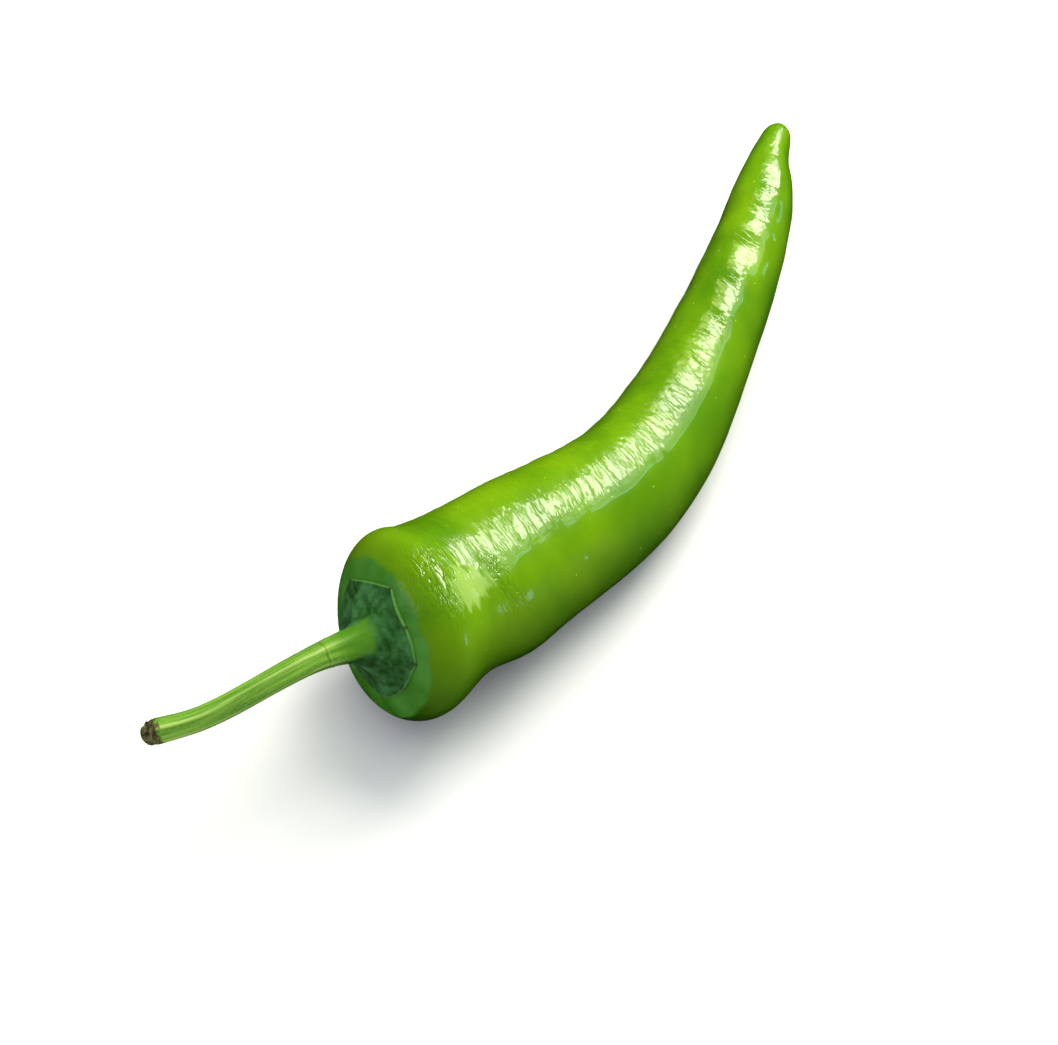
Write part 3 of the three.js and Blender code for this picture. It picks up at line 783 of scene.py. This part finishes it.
def make_stem():
    whole = np.linspace(END_INSET + END_ROUND, stalk_length - NECK_LENGTH, STEM_RINGS)
    bend = np.linspace(END_FIRST_BEND, math.pi / 2, END_RINGS + 1)[:-1]
    across_end = END_INSET + END_ROUND * (1 - np.cos(bend))
    lengths = np.concatenate([across_end, whole])
    share = np.concatenate([np.sin(bend) ** END_BLUNTNESS, np.ones(STEM_RINGS)])
    fibrous = share * rise(lengths[-1] - lengths, 0, FIBRE_FADE)
    centre, girth, _, _, _ = stalk_at(lengths)
    mesh = bpy.data.meshes.new("stem_stalk")
    mesh.from_pydata(centre.tolist(), [(i, i + 1) for i in range(len(lengths) - 1)], [])
    for name, values in (
        ("thickness", girth * share),
        ("along", lengths),
        ("end_share", share),
        ("fibrous", fibrous),
    ):
        mesh.attributes.new(name, "FLOAT", "POINT").data.foreach_set("value", values.astype(np.float32))
    return apply_tree(add_object("stem_stalk", mesh), make_stem_tree(make_stem_material()))


stem_stalk = make_stem()
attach(stem_stalk, "root")
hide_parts("stem")

# The studio: a plain white floor, a large soft panel overhead beyond the pepper, whose reflection runs
# along its back, dimmer panels beside it, and an even fill that the gloss doesn't mirror.
FLOOR_HALF_WIDTH = 4.0
FLOOR_DROP = 0.05 * MM
EVEN_LIGHT = 0.62
# Name, place and size in metres, how bright its face looks, tint, where it faces, and whether the
# gloss mirrors it.
PANELS = (
    ("soft_panel", (1.06, 0.12, 0.80), (0.88, 0.62), 11.5, "#fff9e6", "down", True),
    ("near_panel", (0.49, -0.03, 0.80), (0.26, 0.44), 14.0, "#fff9e6", "down", True),
    ("rear_panel", (0.48, 0.42, 0.80), (0.28, 0.40), 5.0, "#fff8ab", "down", True),
    ("side_panel", (0.55, -0.30, 0.80), (1.10, 0.26), 1.6, "#eaffc4", "down", True),
    ("cool_strip", (0.62, -0.455, 0.80), (0.90, 0.05), 3.4, "#c4f6f4", "down", True),
    ("cool_window", (1.30, -0.66, 0.36), (0.30, 0.20), 1.8, "#b4f0f4", "pepper", True),
    ("low_panel", (0.044, -0.25, 0.055), (0.045, 0.05), 2.4, "#c8ecff", "pepper", True),
    ("stem_panel", (-0.92, 0.72, 0.29), (0.36, 0.30), 0.7, "#cfe6ff", "pepper", True),
    ("fill_panel", (0.10, 0.40, 1.70), (2.20, 2.20), 0.75, "#ffffff", "pepper", False),
)


def make_floor():
    material, _, shader = new_material("matte_white_card")
    shader.inputs["Base Color"].default_value = colour("#dee0e5")
    shader.inputs["Roughness"].default_value = 0.9
    shader.inputs["Specular IOR Level"].default_value = 0.1
    mesh = bpy.data.meshes.new("studio_floor")
    w, z = FLOOR_HALF_WIDTH, -FLOOR_DROP
    mesh.from_pydata([(-w, -w, z), (w, -w, z), (w, w, z), (-w, w, z)], [], [(0, 1, 2, 3)])
    mesh.materials.append(material)
    floor = add_object("studio_floor", mesh)
    floor.visible_glossy = False


def add_panel(name, place, size, brightness, tint, faces, mirrored):
    light = bpy.data.lights.new(name, "AREA")
    light.shape = "RECTANGLE"
    light.size, light.size_y = size
    light.energy = brightness * math.pi * size[0] * size[1]
    light.color = colour(tint)[:3]
    panel = add_object(name, light)
    panel.location = place
    panel.visible_glossy = mirrored
    if faces == "pepper":
        panel.rotation_euler = (-Vector(place)).to_track_quat("-Z", "Y").to_euler()


make_floor()
for panel in PANELS:
    add_panel(*panel)
world = bpy.data.worlds.new("even_fill")
world.use_nodes = True
backdrop = world.node_tree.nodes["Background"]
backdrop.inputs["Color"].default_value = colour("#ffffff")
backdrop.inputs["Strength"].default_value = EVEN_LIGHT
bpy.context.scene.world = world
world.cycles_visibility.glossy = False
bpy.context.scene.view_settings.view_transform = "Standard"

# The camera: looking down on the pepper from the stem's side, as the photograph does.
CAMERA_LENS, SENSOR_WIDTH = 60, 36  # both in millimetres, as Blender has them
CAMERA_DISTANCE = 405.6 * MM
CAMERA_ELEVATION = math.radians(56)
CAMERA_TURN = math.radians(51)
CAMERA_AIM = Vector((-7.9 * MM, 7.1 * MM, 0))


def make_camera():
    right = Vector((math.cos(CAMERA_TURN), -math.sin(CAMERA_TURN), 0))
    level = Vector((math.sin(CAMERA_TURN), math.cos(CAMERA_TURN), 0))
    forward = level * math.cos(CAMERA_ELEVATION) - Vector((0, 0, math.sin(CAMERA_ELEVATION)))
    up = right.cross(forward)
    data = bpy.data.cameras.new("camera")
    data.lens = CAMERA_LENS
    data.sensor_width = SENSOR_WIDTH
    data.clip_start, data.clip_end = 0.01, 20
    camera = add_object("camera", data)
    place = CAMERA_AIM - forward * CAMERA_DISTANCE
    turn = Matrix((right, up, -forward)).transposed()
    camera.matrix_world = Matrix.Translation(place) @ turn.to_4x4()
    bpy.context.scene.camera = camera


make_camera()
